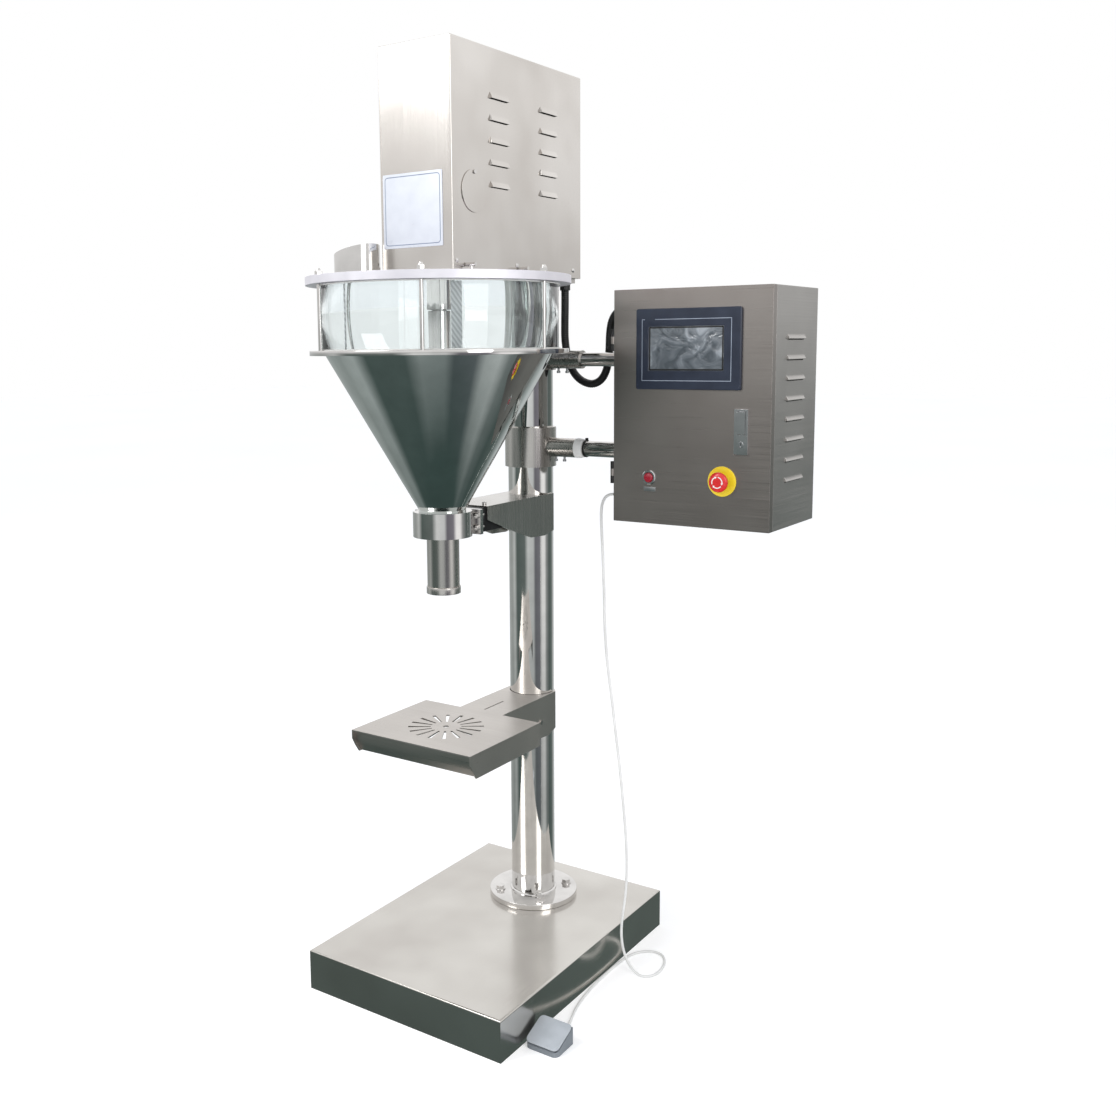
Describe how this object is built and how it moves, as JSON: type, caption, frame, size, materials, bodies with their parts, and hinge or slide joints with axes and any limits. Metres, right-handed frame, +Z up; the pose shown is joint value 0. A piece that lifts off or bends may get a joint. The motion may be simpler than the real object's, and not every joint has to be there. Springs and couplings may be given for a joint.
{
  "type": "auger powder filler",
  "caption": "Column-mounted auger powder filler: clear-walled hopper, motor cover, height-adjustable slotted table, control box on a swinging arm and a foot switch.",
  "frame": {"origin": "on the column's axis, at the floor, on the underside of the base frame's square foot plate", "axes": "+Z up along the column; +Y to the back of the machine, so the hopper hangs on the -Y side; +X to the side of the control box"},
  "size_m": [0.8719, 0.769, 1.958],
  "materials": {
    "brushed_stainless": "brushed",
    "polished_stainless": "polished",
    "lid_stainless": "satin",
    "clear_acrylic": "clear",
    "white_rubber": "matt",
    "black_polymer": "matt",
    "white_polymer": "satin",
    "dark_block": "matt",
    "data_plate": "matt",
    "motor_black": "satin",
    "motor_grey": "cast",
    "belt_rubber": "matt",
    "zinc_plate": "zinc",
    "control_units": "matt",
    "panel_navy": "satin",
    "screen": "gloss",
    "seal_rubber": "matt",
    "latch_chrome": "polished",
    "button_red": "gloss",
    "stop_red": "satin",
    "stop_yellow": "satin",
    "foot_grey": "satin",
    "pedal_grey": "satin"
  },
  "bodies": {
    "frame": {"base_cover": "brushed_stainless", "base_frame": "brushed_stainless", "column": "brushed_stainless", "column_flange": "polished_stainless", "frame_screws": "polished_stainless", "head_plate": "brushed_stainless", "motor_cover": "brushed_stainless", "data_plate": "data_plate", "hopper_lid": "lid_stainless", "hopper_fasteners": "polished_stainless", "hopper_window": "clear_acrylic", "window_gaskets": "white_rubber", "hopper_ring": "polished_stainless", "hopper_cone": "polished_stainless", "discharge_tube": "brushed_stainless", "neck_clamp": "polished_stainless", "clamp_block": "dark_block", "neck_bracket": "brushed_stainless", "feed_inlet": "polished_stainless", "drive_stand": "zinc_plate", "servo_motor": "motor_black", "stirrer_motor": "motor_grey", "stirrer_belt": "belt_rubber", "shaft_housing": "polished_stainless", "head_gland": "black_polymer", "hose_upper": "black_polymer", "foot_cord": "white_polymer", "foot_base": "foot_grey"},
    "table_carriage": {"table_tray": "brushed_stainless", "table_bracket": "brushed_stainless", "table_clamp": "brushed_stainless"},
    "auger": {"drive_shaft": "polished_stainless", "auger_screw": "polished_stainless"},
    "stirrer": {"stirrer_spindle": "polished_stainless", "stirrer_blades": "brushed_stainless"},
    "stirrer_pulley": {"small_pulley": "motor_grey"},
    "disc": {"inspection_disc": "brushed_stainless"},
    "control_arm": {"arm_collars": "brushed_stainless", "arm_tubes": "polished_stainless", "arm_fasteners": "white_polymer", "cabinet_shell": "brushed_stainless", "mounting_panel": "zinc_plate", "drive_units": "control_units", "rail_units": "control_units", "cabinet_hinges": "black_polymer", "cabinet_glands": "black_polymer", "hose_lower": "black_polymer", "foot_cord_drop": "white_polymer"},
    "door": {"door_panel": "brushed_stainless", "door_seal": "seal_rubber", "screen_unit": "panel_navy", "screen_glass": "screen", "latch_plate": "latch_chrome", "switch_bodies": "latch_chrome", "stop_ring": "stop_yellow"},
    "paddle": {"latch_paddle": "latch_chrome"},
    "lock": {"lock_barrel": "latch_chrome"},
    "start_button": {"button_cap": "button_red"},
    "emergency_stop": {"stop_head": "stop_red"},
    "pedal": {"foot_pedal": "pedal_grey"}
  },
  "joints": [
    {"name": "table_height", "type": "slide", "parent": "frame", "child": "table_carriage", "axis": [0, 0, 1], "range_m": [-0.36, 0.25]},
    {"name": "auger_turn", "type": "hinge", "parent": "frame", "child": "auger", "pos_m": [0, -0.334, 1.3], "axis": [0, 0, 1], "continuous": true},
    {"name": "stirrer_turn", "type": "hinge", "parent": "frame", "child": "stirrer", "pos_m": [0, -0.334, 1.4], "axis": [0, 0, 1], "continuous": true},
    {"name": "pulley_turn", "type": "hinge", "parent": "frame", "child": "stirrer_pulley", "pos_m": [0, -0.15, 1.556], "axis": [0, 0, 1], "continuous": true},
    {"name": "disc_turn", "type": "hinge", "parent": "frame", "child": "disc", "pos_m": [0.088, -0.332, 1.714], "axis": [1, 0, 0], "range_deg": [-150, 20]},
    {"name": "arm_swing", "type": "hinge", "parent": "frame", "child": "control_arm", "pos_m": [0, 0, 1.25], "axis": [0, 0, 1], "range_deg": [0, 45]},
    {"name": "door_turn", "type": "hinge", "parent": "control_arm", "child": "door", "pos_m": [0.2547, -0.078, 1.25], "axis": [0, 0, 1], "range_deg": [-80, 0]},
    {"name": "paddle_lift", "type": "hinge", "parent": "door", "child": "paddle", "pos_m": [0.543, -0.0833, 1.243], "axis": [-1, 0, 0], "range_deg": [0, 35], "stiffness_Nm_per_rad": 0.1},
    {"name": "key_turn", "type": "hinge", "parent": "door", "child": "lock", "pos_m": [0.543, -0.07, 1.183], "axis": [0, 1, 0], "range_deg": [0, 90]},
    {"name": "button_press", "type": "slide", "parent": "door", "child": "start_button", "axis": [0, 1, 0], "range_m": [0, 0.003], "stiffness_N_per_m": 1500},
    {"name": "stop_press", "type": "slide", "parent": "door", "child": "emergency_stop", "axis": [0, 1, 0], "range_m": [0, 0.004], "stiffness_N_per_m": 2500},
    {"name": "pedal_press", "type": "hinge", "parent": "frame", "child": "pedal", "pos_m": [0.295, -0.381, 0.029], "axis": [1, 0, 0], "range_deg": [0, 3.5], "stiffness_Nm_per_rad": 4, "springref_deg": -8.59}
  ],
  "couplings": [
    {"joint": "pulley_turn", "follows": "stirrer_turn", "ratio": 2.3}
  ]
}
